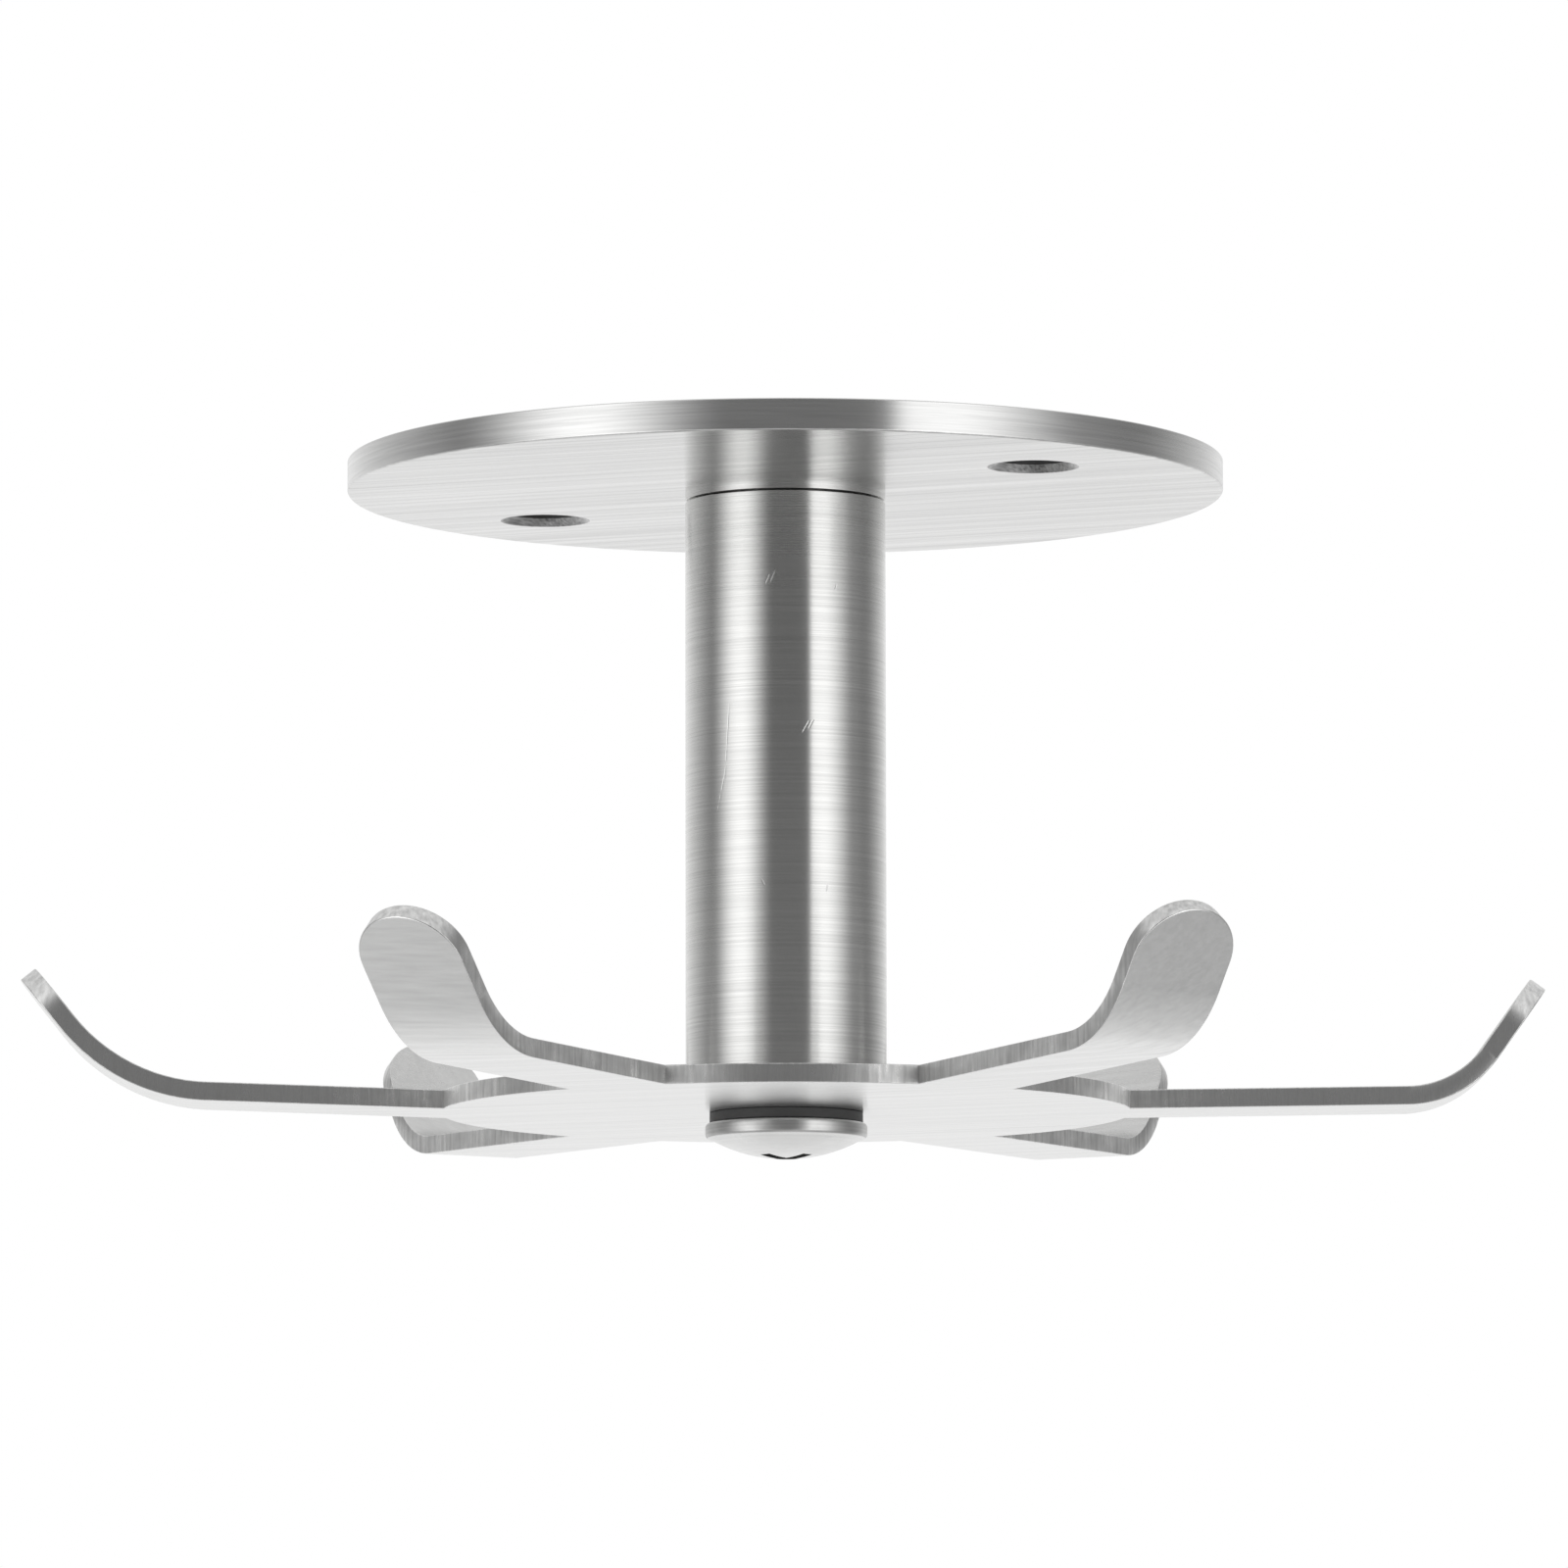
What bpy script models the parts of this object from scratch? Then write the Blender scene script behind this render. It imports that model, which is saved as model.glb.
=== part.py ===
"""Ceiling-mounted swivel hook rack in brushed stainless steel.

A round plate is screwed up against a ceiling or the underside of a shelf. A tube post hangs from it, and
a flat rotor with six upturned arms turns freely on a sleeve at the post's lower end, held by a screw.

Frame: origin at the centre of the plate's top (mounting) face, +Z up, so the rack hangs towards -Z.
Lengths are given in millimetres and turned into metres when a mesh is made.
"""

import math
from collections import namedtuple

import bmesh
import bpy
from mathutils import Vector

MM = 0.001
MERGE = 0.00001
GAP = 0.3
NARROW_GAP = 0.2

# Mounting plate
PLATE_RADIUS = 35.0
PLATE_THICKNESS = 2.5
PLATE_EDGE = 0.4
FIXING_CIRCLE_RADIUS = 24.6
FIXING_ANGLES = (142.5, 322.5)
FIXING_HOLE_RADIUS = 2.25
FIXING_SINK_RADIUS = 3.5
CENTRE_SINK_RADIUS = 4.1

# Post
TUBE_RADIUS = 8.0
TUBE_WALL = 1.2
TUBE_EDGE = 0.15
TUBE_BOTTOM = -49.6
FLANGE_THICKNESS = 0.4
PLUG_LENGTH = 11.0
PLUG_EDGE = 0.3
PLUG_RADIUS = TUBE_RADIUS - TUBE_WALL - GAP

# Screw that holds the post to the plate
PLATE_SCREW_RADIUS = 2.0
PLATE_SCREW_HEAD_RADIUS = 3.6
PLATE_SCREW_LENGTH = 12.0
PLATE_SCREW_RECESS = 0.1
SOCKET_ACROSS_FLATS = 2.5
SOCKET_DEPTH = 1.2
SCREW_TIP_CHAMFER = 0.4

# Rotor, laser-cut from one sheet, its arms bent up by hand
SHEET = 1.5
HUB_RADIUS = 27.5
ARM_WIDTH = 8.7
ARM_REACH = 64.0
ROTOR_TURN = 1.0
ROTOR_UNDERSIDE = -52.2

# Pivot
BUSH_RADIUS = 3.6
BUSH_BORE_RADIUS = 2.8
ROTOR_BORE_RADIUS = BUSH_RADIUS + GAP
BUSH_EDGE = 0.15
THRUST_WASHER_THICKNESS = 0.5
THRUST_WASHER_RADIUS = 7.6
LOWER_WASHER_THICKNESS = 0.4
LOWER_WASHER_RADIUS = 6.1
WASHER_EDGE = 0.1
PIVOT_SCREW_RADIUS = 2.5
PIVOT_SCREW_TOP = -41.0
HEAD_RADIUS = 6.45
HEAD_RIM = 1.2
HEAD_DOME = 1.65
HEAD_EDGE = 0.3
CROSS_LENGTH = 4.6
CROSS_WIDTH = 1.0
CROSS_DEPTH = 2.2

# Where an arm leaves the hub, along the arm from the axis
ARM_ROOT = math.sqrt(HUB_RADIUS**2 - (ARM_WIDTH / 2) ** 2)

# Heights worked out from the sizes above
ROTOR_TOP = ROTOR_UNDERSIDE + SHEET
FLANGE_TOP = -PLATE_THICKNESS - NARROW_GAP
TUBE_TOP = FLANGE_TOP - FLANGE_THICKNESS - NARROW_GAP
THRUST_WASHER_TOP = ROTOR_TOP + GAP + THRUST_WASHER_THICKNESS
LOWER_WASHER_TOP = ROTOR_UNDERSIDE - NARROW_GAP
HEAD_TOP = LOWER_WASHER_TOP - LOWER_WASHER_THICKNESS - NARROW_GAP
BUSH_TOP = TUBE_BOTTOM - GAP
BUSH_BOTTOM = HEAD_TOP + GAP

# An arm's bend: how far it rises on its way out, where the bend starts (along the arm, from the axis),
# the radius inside the bend, and the slope of the finished tip
Arm = namedtuple("Arm", "direction rise bend_start bend_radius tip_slope")
ARMS = (
    Arm(0.0, 0.8, 49.2, 7.5, 54.5),
    Arm(60.0, 0.4, 50.5, 5.5, 58.0),
    Arm(120.0, 0.8, 50.5, 6.0, 58.0),
    Arm(180.0, 2.0, 46.0, 14.0, 51.5),
    Arm(240.0, 1.2, 47.2, 10.0, 47.5),
    Arm(300.0, 2.2, 48.5, 8.5, 54.5),
)

# How finely round shapes are divided
ROUND_STEPS = 64
PLATE_STEPS = 96
HOLE_STEPS = 32
ARM_COLUMNS = 2
BEND_ROWS = 8
TIP_STEPS = 12
HUB_ARC_STEPS = 5
DOME_STEPS = 8

# How far a cutter runs past the face it cuts
OVERRUN = 1.0


def clear_scene():
    for obj in list(bpy.data.objects):
        bpy.data.objects.remove(obj, do_unlink=True)


def make_collection(name):
    collection = bpy.data.collections.new(name)
    bpy.context.scene.collection.children.link(collection)
    return collection


def make_material(name, colour, roughness, metallic):
    material = bpy.data.materials.new(name)
    material.use_nodes = True
    shader = material.node_tree.nodes["Principled BSDF"]
    shader.inputs["Base Color"].default_value = (*colour, 1.0)
    shader.inputs["Roughness"].default_value = roughness
    shader.inputs["Metallic"].default_value = metallic
    material.diffuse_color = (*colour, 1.0)
    return material


def add_object(name, mesh, collection, material=None):
    obj = bpy.data.objects.new(name, mesh)
    collection.objects.link(obj)
    if material:
        mesh.materials.append(material)
    return obj


def turned(name, profile, collection, material=None, steps=ROUND_STEPS):
    """Turn a profile of (radius, height) points about Z. It runs down the outer side. A profile that
    doesn't start on the axis is closed, and makes a ring."""
    mesh = bpy.data.meshes.new(name)
    points = [(radius * MM, 0.0, height * MM) for radius, height in profile]
    edges = [(i, i + 1) for i in range(len(points) - 1)]
    if profile[0][0] > 0.0:
        edges.append((len(points) - 1, 0))
    mesh.from_pydata(points, edges, [])
    obj = add_object(name, mesh, collection, material)
    screw = obj.modifiers.new("turn", "SCREW")
    screw.steps = steps
    screw.render_steps = steps
    screw.use_merge_vertices = True
    screw.merge_threshold = MERGE
    screw.use_smooth_shade = False
    return obj


def ring_profile(outer, inner, height, edge):
    """Profile of a ring whose outer corners are chamfered, from local height 0 down."""
    return [
        (outer - edge, 0.0),
        (outer, -edge),
        (outer, -height + edge),
        (outer - edge, -height),
        (inner, -height),
        (inner, 0.0),
    ]


def cut(obj, cutter):
    boolean = obj.modifiers.new(cutter.name, "BOOLEAN")
    boolean.operation = "DIFFERENCE"
    boolean.solver = "EXACT"
    boolean.object = cutter


def hide_cutter(cutter):
    cutter.hide_render = True
    cutter.display_type = "WIRE"


def set_height(obj, height):
    obj.location.z = height * MM


def box_cutter(name, size, turn, collection):
    mesh = bpy.data.meshes.new(name)
    bm = bmesh.new()
    bmesh.ops.create_cube(bm, size=1.0)
    bmesh.ops.scale(bm, vec=Vector(size) * MM, verts=bm.verts)
    bm.to_mesh(mesh)
    bm.free()
    cutter = add_object(name, mesh, collection)
    cutter.rotation_euler.z = math.radians(turn)
    hide_cutter(cutter)
    return cutter


# Mounting plate and the screw through its centre


def fixing_hole_cutter(name, angle, cutters):
    """A through hole with a 90 degree countersink that opens on the plate's underside."""
    sink_depth = FIXING_SINK_RADIUS - FIXING_HOLE_RADIUS
    profile = [
        (0.0, OVERRUN),
        (FIXING_HOLE_RADIUS, OVERRUN),
        (FIXING_HOLE_RADIUS, -PLATE_THICKNESS + sink_depth),
        (FIXING_SINK_RADIUS + OVERRUN, -PLATE_THICKNESS - OVERRUN),
        (0.0, -PLATE_THICKNESS - OVERRUN),
    ]
    cutter = turned(name, profile, cutters, steps=HOLE_STEPS)
    cutter.location.x = FIXING_CIRCLE_RADIUS * math.cos(math.radians(angle)) * MM
    cutter.location.y = FIXING_CIRCLE_RADIUS * math.sin(math.radians(angle)) * MM
    hide_cutter(cutter)
    return cutter


def mounting_plate(parts, cutters, material):
    bore = PLATE_SCREW_RADIUS + GAP
    profile = ring_profile(PLATE_RADIUS, bore, PLATE_THICKNESS, PLATE_EDGE)
    profile[-1:] = [(bore, bore - CENTRE_SINK_RADIUS), (CENTRE_SINK_RADIUS, 0.0)]
    plate = turned("mounting_plate", profile, parts, material, steps=PLATE_STEPS)
    for number, angle in enumerate(FIXING_ANGLES, start=1):
        cut(plate, fixing_hole_cutter(f"fixing_hole_{number}_cutter", angle, cutters))


def plate_screw(parts, cutters, material):
    head_depth = PLATE_SCREW_HEAD_RADIUS - PLATE_SCREW_RADIUS
    profile = [
        (0.0, 0.0),
        (PLATE_SCREW_HEAD_RADIUS, 0.0),
        (PLATE_SCREW_RADIUS, -head_depth),
        (PLATE_SCREW_RADIUS, -PLATE_SCREW_LENGTH + SCREW_TIP_CHAMFER),
        (PLATE_SCREW_RADIUS - SCREW_TIP_CHAMFER, -PLATE_SCREW_LENGTH),
        (0.0, -PLATE_SCREW_LENGTH),
    ]
    screw = turned("plate_screw", profile, parts, material, steps=HOLE_STEPS)
    set_height(screw, -PLATE_SCREW_RECESS)
    socket_mesh = bpy.data.meshes.new("plate_screw_socket_cutter")
    bm = bmesh.new()
    corner = SOCKET_ACROSS_FLATS / math.sqrt(3.0) * MM
    depth = 2 * SOCKET_DEPTH * MM
    bmesh.ops.create_cone(bm, cap_ends=True, segments=6, radius1=corner, radius2=corner, depth=depth)
    bm.to_mesh(socket_mesh)
    bm.free()
    socket = add_object("plate_screw_socket_cutter", socket_mesh, cutters)
    set_height(socket, -PLATE_SCREW_RECESS)
    hide_cutter(socket)
    cut(screw, socket)


# Post


def top_spigot(parts, material):
    """Plug in the tube's top end. Its thin flange, as wide as the tube, sits against the plate."""
    bore = PLATE_SCREW_RADIUS + GAP
    length = FLANGE_THICKNESS + PLUG_LENGTH
    profile = [
        (TUBE_RADIUS, 0.0),
        (TUBE_RADIUS, -FLANGE_THICKNESS),
        (PLUG_RADIUS, -FLANGE_THICKNESS),
        (PLUG_RADIUS, -length + PLUG_EDGE),
        (PLUG_RADIUS - PLUG_EDGE, -length),
        (bore, -length),
        (bore, 0.0),
    ]
    set_height(turned("top_spigot", profile, parts, material), FLANGE_TOP)


def post_tube(parts, material):
    profile = ring_profile(TUBE_RADIUS, TUBE_RADIUS - TUBE_WALL, TUBE_TOP - TUBE_BOTTOM, TUBE_EDGE)
    set_height(turned("post_tube", profile, parts, material), TUBE_TOP)


def bottom_plug(parts, material):
    """Threaded plug in the tube's lower end, flush with it, that the pivot screw goes into."""
    profile = ring_profile(PLUG_RADIUS, PIVOT_SCREW_RADIUS + GAP, PLUG_LENGTH, PLUG_EDGE)
    set_height(turned("bottom_plug", profile, parts, material), TUBE_BOTTOM + PLUG_LENGTH)


# Rotor


def arm_point(arm, along):
    """Reach and height of the sheet's middle surface at a distance along the arm from the axis."""
    rise = math.radians(arm.rise)
    slope = math.radians(arm.tip_slope)
    radius = arm.bend_radius + SHEET / 2
    straight = min(along, arm.bend_start) - ARM_ROOT
    bent = min(max(along - arm.bend_start, 0.0), radius * (slope - rise))
    tail = max(along - arm.bend_start - bent, 0.0)
    angle = rise + bent / radius
    reach = ARM_ROOT + straight * math.cos(rise) + tail * math.cos(angle)
    reach += radius * (math.sin(angle) - math.sin(rise))
    height = straight * math.sin(rise) + tail * math.sin(angle)
    height += radius * (math.cos(rise) - math.cos(angle))
    return reach, height


def arm_vertex(bm, arm, along, across):
    reach, height = arm_point(arm, along)
    turn = math.radians(arm.direction + ROTOR_TURN)
    x = reach * math.cos(turn) - across * math.sin(turn)
    y = reach * math.sin(turn) + across * math.cos(turn)
    return bm.verts.new((x * MM, y * MM, height * MM))


def add_arm(bm, arm):
    """One arm as rows of quads with a half-round tip. Returns the row where it leaves the hub."""
    half = ARM_WIDTH / 2
    bend_length = (arm.bend_radius + SHEET / 2) * math.radians(arm.tip_slope - arm.rise)
    stations = [ARM_ROOT]
    stations += [arm.bend_start + bend_length * i / BEND_ROWS for i in range(BEND_ROWS + 1)]
    tip_centre = ARM_REACH - half
    stations.append(tip_centre)
    columns = [half * (2 * i / ARM_COLUMNS - 1) for i in range(ARM_COLUMNS + 1)]
    rows = [[arm_vertex(bm, arm, along, across) for across in columns] for along in stations]
    for near, far in zip(rows, rows[1:]):
        for i in range(ARM_COLUMNS):
            bm.faces.new((near[i], far[i], far[i + 1], near[i + 1]))
    tip = []
    for i in range(1, TIP_STEPS):
        angle = math.pi * (i / TIP_STEPS - 0.5)
        tip.append(arm_vertex(bm, arm, tip_centre + half * math.cos(angle), half * math.sin(angle)))
    bm.faces.new(rows[-1][:1] + tip + rows[-1][::-1][:-1])
    return rows[0]


def circle_vertex(bm, radius, angle):
    return bm.verts.new((radius * math.cos(angle) * MM, radius * math.sin(angle) * MM, 0.0))


def loop_edges(bm, loop):
    edges = []
    for start, end in zip(loop, loop[1:] + loop[:1]):
        edges.append(bm.edges.get((start, end)) or bm.edges.new((start, end)))
    return edges


def hook_rotor(parts, material):
    bm = bmesh.new()
    outline = []
    half_root = math.asin(ARM_WIDTH / 2 / HUB_RADIUS)
    spacing = 2 * math.pi / len(ARMS)
    for arm in ARMS:
        outline += add_arm(bm, arm)
        start = math.radians(arm.direction + ROTOR_TURN) + half_root
        span = spacing - 2 * half_root
        for i in range(1, HUB_ARC_STEPS + 1):
            outline.append(circle_vertex(bm, HUB_RADIUS, start + span * i / (HUB_ARC_STEPS + 1)))
    bore = [circle_vertex(bm, ROTOR_BORE_RADIUS, 2 * math.pi * i / HOLE_STEPS) for i in range(HOLE_STEPS)]
    edges = loop_edges(bm, outline) + loop_edges(bm, bore)
    bmesh.ops.triangle_fill(bm, use_beauty=True, use_dissolve=False, edges=edges, normal=(0.0, 0.0, 1.0))
    bmesh.ops.recalc_face_normals(bm, faces=bm.faces)
    mesh = bpy.data.meshes.new("hook_rotor")
    bm.to_mesh(mesh)
    bm.free()
    rotor = add_object("hook_rotor", mesh, parts, material)
    solidify = rotor.modifiers.new("sheet", "SOLIDIFY")
    solidify.thickness = SHEET * MM
    solidify.offset = 0.0
    solidify.use_even_offset = True
    axis = bpy.data.objects.new("rotor_axis", None)
    parts.objects.link(axis)
    set_height(axis, ROTOR_UNDERSIDE + SHEET / 2)
    rotor.parent = axis


# Pivot


def pivot_bush(parts, material):
    """Sleeve clamped by the pivot screw. The rotor turns on it."""
    profile = ring_profile(BUSH_RADIUS, BUSH_BORE_RADIUS, BUSH_TOP - BUSH_BOTTOM, BUSH_EDGE)
    set_height(turned("pivot_bush", profile, parts, material, steps=HOLE_STEPS), BUSH_TOP)


def thrust_washer(parts, material):
    """Slide washer between the post's lower end and the rotor."""
    profile = ring_profile(THRUST_WASHER_RADIUS, ROTOR_BORE_RADIUS, THRUST_WASHER_THICKNESS, WASHER_EDGE)
    set_height(turned("thrust_washer", profile, parts, material), THRUST_WASHER_TOP)


def lower_washer(parts, material):
    """Thin slide washer between the rotor and the screw's head."""
    profile = ring_profile(LOWER_WASHER_RADIUS, ROTOR_BORE_RADIUS, LOWER_WASHER_THICKNESS, WASHER_EDGE)
    set_height(turned("lower_washer", profile, parts, material), LOWER_WASHER_TOP)


def pivot_screw(parts, cutters, material):
    """Domed screw with a cross recess, its head below the rotor and its shank up in the plug."""
    dome_radius = HEAD_RADIUS - HEAD_EDGE
    sphere = (dome_radius**2 + HEAD_DOME**2) / (2 * HEAD_DOME)
    sweep = math.asin(dome_radius / sphere)
    shank_top = PIVOT_SCREW_TOP - HEAD_TOP
    profile = [
        (0.0, shank_top),
        (PIVOT_SCREW_RADIUS - SCREW_TIP_CHAMFER, shank_top),
        (PIVOT_SCREW_RADIUS, shank_top - SCREW_TIP_CHAMFER),
        (PIVOT_SCREW_RADIUS, 0.0),
        (HEAD_RADIUS - HEAD_EDGE, 0.0),
        (HEAD_RADIUS, -HEAD_EDGE),
        (HEAD_RADIUS, -HEAD_RIM),
    ]
    for i in range(DOME_STEPS + 1):
        angle = sweep * (1 - i / DOME_STEPS)
        drop = sphere * (math.cos(angle) - math.cos(sweep))
        profile.append((sphere * math.sin(angle), -HEAD_RIM - drop))
    screw = turned("pivot_screw", profile, parts, material)
    set_height(screw, HEAD_TOP)
    slot_size = (CROSS_LENGTH, CROSS_WIDTH, 2 * CROSS_DEPTH)
    for number, turn in enumerate((45.0, 135.0), start=1):
        slot = box_cutter(f"cross_slot_{number}_cutter", slot_size, turn, cutters)
        set_height(slot, HEAD_TOP - HEAD_RIM - HEAD_DOME)
        cut(screw, slot)


def main():
    clear_scene()
    parts = make_collection("swivel_hook_rack")
    cutters = make_collection("cutters")
    brushed = make_material("brushed_stainless", (0.62, 0.62, 0.61), 0.34, 1.0)
    polished = make_material("polished_stainless", (0.66, 0.66, 0.65), 0.22, 1.0)
    machined = make_material("machined_steel", (0.45, 0.45, 0.46), 0.4, 1.0)
    white_nylon = make_material("white_nylon", (0.8, 0.79, 0.75), 0.5, 0.0)
    dark_nylon = make_material("dark_nylon", (0.05, 0.05, 0.05), 0.55, 0.0)

    mounting_plate(parts, cutters, brushed)
    plate_screw(parts, cutters, machined)
    top_spigot(parts, brushed)
    post_tube(parts, brushed)
    bottom_plug(parts, machined)
    thrust_washer(parts, white_nylon)
    hook_rotor(parts, brushed)
    pivot_bush(parts, machined)
    lower_washer(parts, dark_nylon)
    pivot_screw(parts, cutters, polished)


main()
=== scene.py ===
"""Studio scene of the ceiling-mounted swivel hook rack.

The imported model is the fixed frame. Eight of its nodes are replaced by finer meshes of the same size with
rounded edges, and the other two keep their CAD shape. Every material is brushed, turned, laser-cut or
moulded by procedural nodes. Lengths are in millimetres and angles in degrees, except in the studio, which
is in metres. The camera stands at -Y, in front of the rack.
"""

import math
from collections import namedtuple

import bmesh
import bpy
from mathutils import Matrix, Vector


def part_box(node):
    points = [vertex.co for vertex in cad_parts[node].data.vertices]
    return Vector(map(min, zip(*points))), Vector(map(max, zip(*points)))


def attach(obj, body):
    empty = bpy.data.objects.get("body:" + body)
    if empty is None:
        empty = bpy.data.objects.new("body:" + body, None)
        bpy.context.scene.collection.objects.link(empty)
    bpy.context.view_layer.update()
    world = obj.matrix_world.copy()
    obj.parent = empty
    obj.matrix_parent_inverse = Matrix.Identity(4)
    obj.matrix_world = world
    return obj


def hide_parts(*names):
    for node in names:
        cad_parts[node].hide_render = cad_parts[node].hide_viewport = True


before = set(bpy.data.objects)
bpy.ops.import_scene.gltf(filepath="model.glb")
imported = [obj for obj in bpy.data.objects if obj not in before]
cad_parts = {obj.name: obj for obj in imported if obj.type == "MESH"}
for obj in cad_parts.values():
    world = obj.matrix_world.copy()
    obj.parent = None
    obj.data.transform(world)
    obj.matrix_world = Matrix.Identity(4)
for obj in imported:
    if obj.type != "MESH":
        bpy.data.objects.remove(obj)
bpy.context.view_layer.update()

MM = 0.001
POST = "post_assembly"
ROTOR = "rotor"

# The solids keep this far apart where two pieces touch on the real rack
CAD_GAP = 0.2

# Mounting plate
FIXING_CIRCLE_RADIUS = 24.6
FIXING_ANGLES = (142.5, 322.5)
FIXING_HOLE_RADIUS = 2.25
FIXING_SINK_RADIUS = 3.5
CENTRE_HOLE_RADIUS = 2.3
CENTRE_SINK_RADIUS = 4.1
PLATE_TOP_EDGE = 0.12
PLATE_EDGE = 0.2
HOLE_EDGE = 0.12
# Further up than this the countersinks and bores are painted near-black, as painted shade
SINK_SHADE_DEPTH = 0.6

# Plate screw
PLATE_SHANK_RADIUS = 2.0
PLATE_SHANK_EDGE = 0.4
PLATE_SHANK_FILLET = 0.2
HEXAGON_SIDES = 6
SOCKET_ACROSS_FLATS = 2.5
SOCKET_DEPTH = 1.2
# The socket's mouth is this many times wider
SOCKET_MOUTH_SIZE = 1.06
SOCKET_MOUTH_DEPTH = 0.1
DRILL_POINT_DEPTH = 0.4

# Post
TUBE_RADIUS = 8.0
TUBE_WALL = 1.2
TUBE_TOP_EDGE = 0.06
TUBE_EDGE = 0.15
PLUG_PLAY = 0.3
PLUG_EDGE = 0.3
FLANGE_EDGE = 0.03
# The line that shows between the spigot's flange and the tube
SEAM = 0.18

# Slide washers, and how far each grows up and down to narrow the solids' gaps
WASHER_EDGE = 0.05
UPPER_WASHER_GROWTH = 0.1
# The lower washer grows further, so that its near-black painted shade fills the gap under the rotor
LOWER_WASHER_GROWTH = 0.18

# Rotor
HUB_RADIUS = 27.5
ROTOR_BORE_RADIUS = 3.9
# The whole rotor is turned this far
ROTOR_TURN = 1.0
SHEET = 1.5
SHEET_EDGE = 0.1
ARM_WIDTH = 8.7
# From the axis to an arm's tip, along the sheet
ARM_REACH = 64.0
# From the axis to where an arm's straight sides leave the hub
ARM_ROOT = math.sqrt(HUB_RADIUS**2 - (ARM_WIDTH / 2) ** 2)
# The arms differ a little, as if bent by hand. Each has a direction from +X, the rise of its straight part,
# how far along the sheet its bend starts, the radius inside the bend, and the slope of its tip
Arm = namedtuple("Arm", "direction rise bend_start bend_radius tip_slope")
ARMS = (
    Arm(0.0, 0.8, 49.2, 7.5, 54.5),
    Arm(60.0, 0.4, 50.5, 5.5, 58.0),
    Arm(120.0, 0.8, 50.5, 6.0, 58.0),
    Arm(180.0, 2.0, 46.0, 14.0, 51.5),
    Arm(240.0, 1.2, 47.2, 10.0, 47.5),
    Arm(300.0, 2.2, 48.5, 8.5, 54.5),
)

# Pivot screw
SCREW_SHANK_RADIUS = 2.5
SHANK_TIP_EDGE = 0.4
SHANK_FILLET = 0.15
HEAD_RIM = 1.2
HEAD_EDGE = 0.4
# The dome starts this far inside the head's side, and a short slope this wide and high leads up to it
DOME_INSET = 0.3
DOME_LEAD = (0.3, 0.15)
# Length and width of each bar of the cross recess outside the dome and at its bottom, and how far these
# two lie below and above the dome's lowest point
RECESS_MOUTH = (6.2, 1.15)
RECESS_BOTTOM = (1.7, 0.75)
RECESS_MOUTH_DROP = 0.6
RECESS_DEPTH = 2.2
RECESS_TURNS = (45.0, 135.0)

# How finely the meshes are divided
PLATE_STEPS = 256
TUBE_STEPS = 192
HOLE_STEPS = 96
SCREW_STEPS = 128
DOME_STEPS = 28
ARC_STEPS = 6
BEVEL_STEPS = 2
HUB_ARC_STEPS = 20
ARM_COLUMNS = 6
STRAIGHT_ROWS = 6
BEND_ROWS = 24
TIP_STEPS = 28

# Edges that turn by more than this stay sharp
SHARP_ANGLE = 50.0
PLATE_SCREW_SHARP_ANGLE = 35.0
PIVOT_SCREW_SHARP_ANGLE = 28.0

# Points of a cut's border that are closer than this are joined
CLOSE = 0.001

# Height of the normal past which a face counts as looking down or up
LOOKS_DOWN = -0.3
LOOKS_UP = 0.2

# Places in the plate's, rotor's and pivot screw's lists of materials
PLATE_UNDERSIDE, PLATE_RIM, PLATE_SINK, PLATE_SHADED_BORE, PLATE_TOP = range(5)
SHEET_UNDERSIDE, SHEET_CUT, SHEET_TOP = range(3)
HEAD_SIDE = 1


# Mesh building


def fillet(corner, before, after, radius, steps=ARC_STEPS):
    """Points of the arc that rounds a corner of a profile."""
    corner, before, after = Vector(corner), Vector(before), Vector(after)
    to_before = (before - corner).normalized()
    to_after = (after - corner).normalized()
    half_angle = to_before.angle(to_after) / 2
    setback = radius / math.tan(half_angle)
    centre = corner + (to_before + to_after).normalized() * radius / math.sin(half_angle)
    start = corner + to_before * setback - centre
    end = corner + to_after * setback - centre
    sweep = start.angle_signed(end)
    points = []
    for i in range(steps + 1):
        angle = -sweep * i / steps
        x = start.x * math.cos(angle) - start.y * math.sin(angle)
        y = start.x * math.sin(angle) + start.y * math.cos(angle)
        points.append((centre.x + x, centre.y + y))
    return points


def rounded(profile, closed=False):
    """A profile of (radius, height, rounding) as plain points, with its corners rounded."""
    points = []
    count = len(profile)
    for i, (radius, height, rounding) in enumerate(profile):
        has_neighbours = closed or 0 < i < count - 1
        if rounding and has_neighbours:
            before = profile[i - 1][:2]
            after = profile[(i + 1) % count][:2]
            points += fillet((radius, height), before, after, rounding)
        else:
            points.append((radius, height))
    return points


def ring(bm, radius, height, steps, centre=(0.0, 0.0)):
    """A level circle of vertices."""
    verts = []
    for i in range(steps):
        angle = 2 * math.pi * i / steps
        x = centre[0] + radius * math.cos(angle)
        y = centre[1] + radius * math.sin(angle)
        verts.append(bm.verts.new((x * MM, y * MM, height * MM)))
    return verts


def bridge(bm, upper, lower):
    """Quads between two rings, facing out when the profile runs down its outer side."""
    count = len(upper)
    for i in range(count):
        j = (i + 1) % count
        bm.faces.new((upper[i], lower[i], lower[j], upper[j]))


def fan(bm, centre, rim, facing_up):
    """Triangles from a centre vertex to a ring."""
    count = len(rim)
    for i in range(count):
        j = (i + 1) % count
        corners = (centre, rim[i], rim[j]) if facing_up else (centre, rim[j], rim[i])
        bm.faces.new(corners)


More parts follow.
